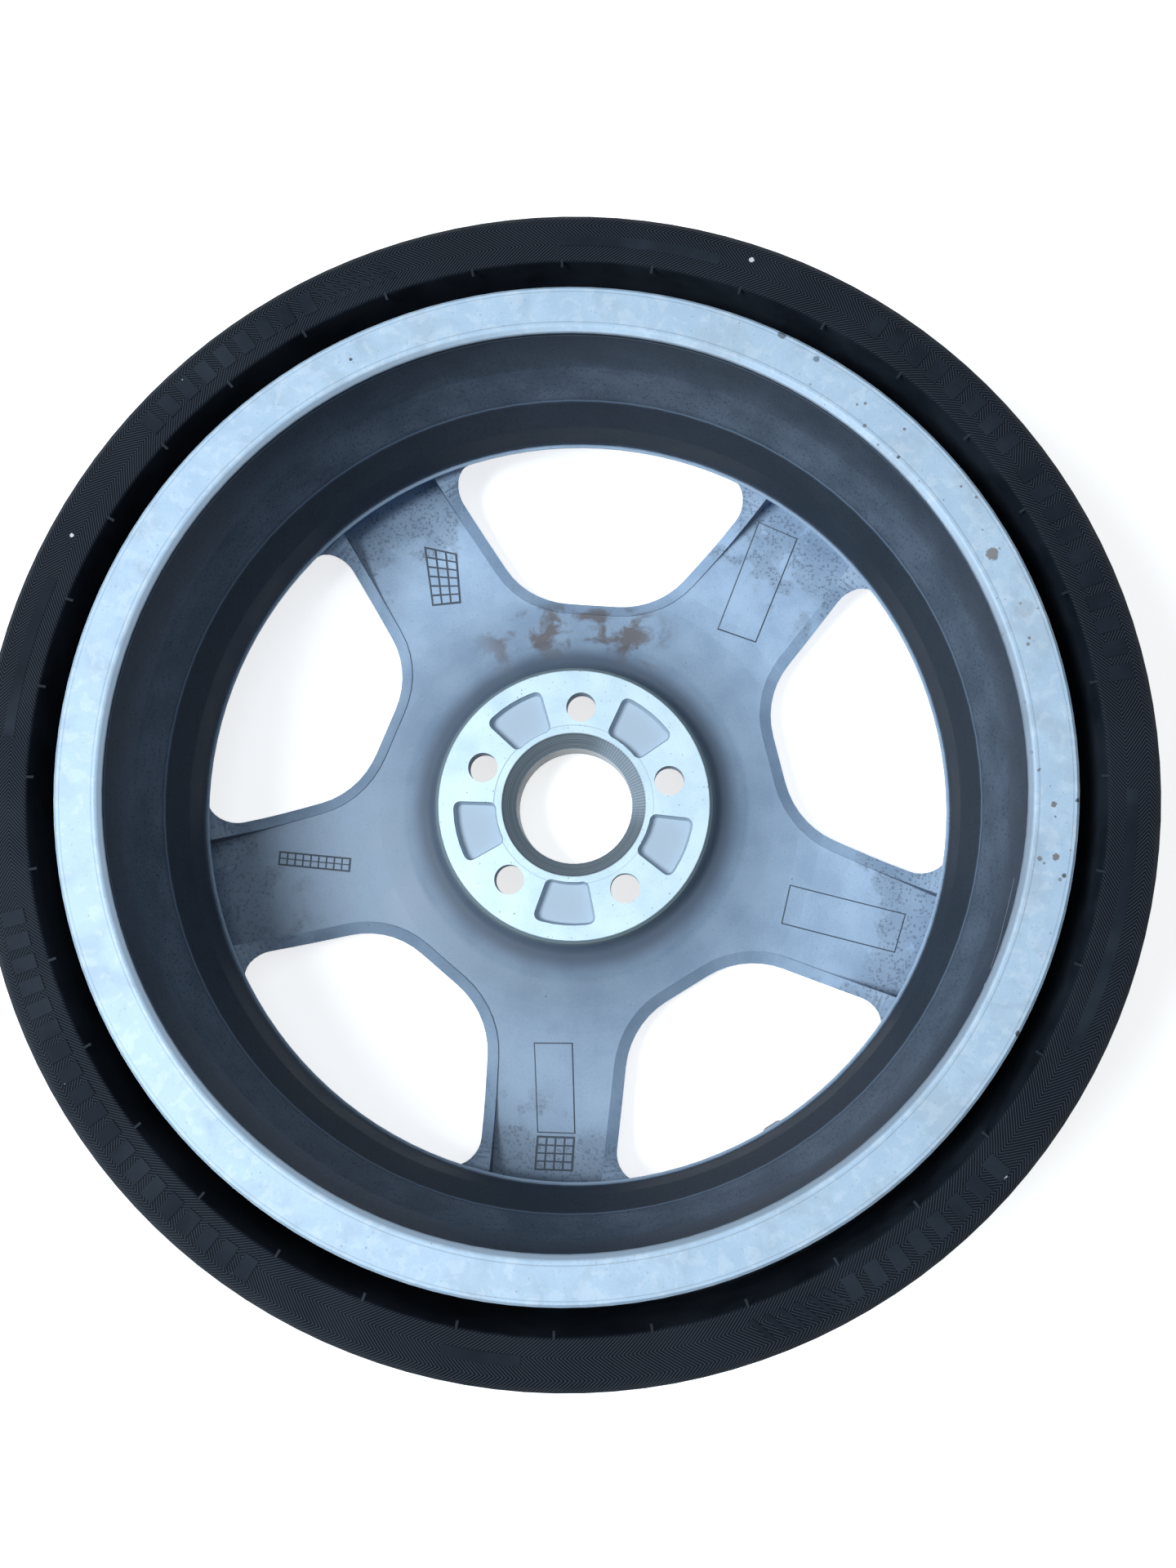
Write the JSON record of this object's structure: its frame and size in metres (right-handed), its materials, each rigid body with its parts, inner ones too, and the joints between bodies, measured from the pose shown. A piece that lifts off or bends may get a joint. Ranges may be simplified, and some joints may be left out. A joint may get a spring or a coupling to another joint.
{
  "type": "spare wheel",
  "caption": "Collapsible temporary spare wheel: cast alloy rim with ribbed spokes and a bored hub, and a tyre with folded-in sides.",
  "frame": {"origin": "centre of the bolt circle on the hub's mounting face", "axes": "+Z along the wheel's axis towards the inboard side, +Y through a bolt hole and the middle of a window"},
  "size_m": [0.5877, 0.5876, 0.1774],
  "materials": {
    "cast_alloy": "blue-grey lacquer over a casting, machined at the hub",
    "tyre_rubber": "matt, dusty",
    "valve_rubber": "matt",
    "brass": "turned",
    "seal_rubber": "matt",
    "spring_steel": "drawn wire",
    "cap_plastic": "moulded"
  },
  "bodies": {
    "wheel": {"wheel_rim": "cast_alloy", "folded_tyre": "tyre_rubber", "valve_rubber_body": "valve_rubber", "valve_brass_stem": "brass", "valve_core_body": "brass", "valve_core_gasket": "seal_rubber", "valve_core_spring": "spring_steel"},
    "valve_pin": {"valve_core_pin": "brass", "valve_core_seal": "valve_rubber"},
    "cap": {"valve_cap": "cap_plastic", "valve_cap_seal": "valve_rubber"}
  },
  "joints": [
    {"name": "valve_pin_slide", "type": "slide", "parent": "wheel", "child": "valve_pin", "axis": [0, 0, 1], "range_m": [0, 0.0015], "stiffness_N_per_m": 2000, "springref_m": -0.0008, "deforming": ["valve_core_spring"]},
    {"name": "cap_slide", "type": "slide", "parent": "wheel", "child": "cap", "axis": [0, 0, -1], "range_m": [0, 0.014]}
  ]
}
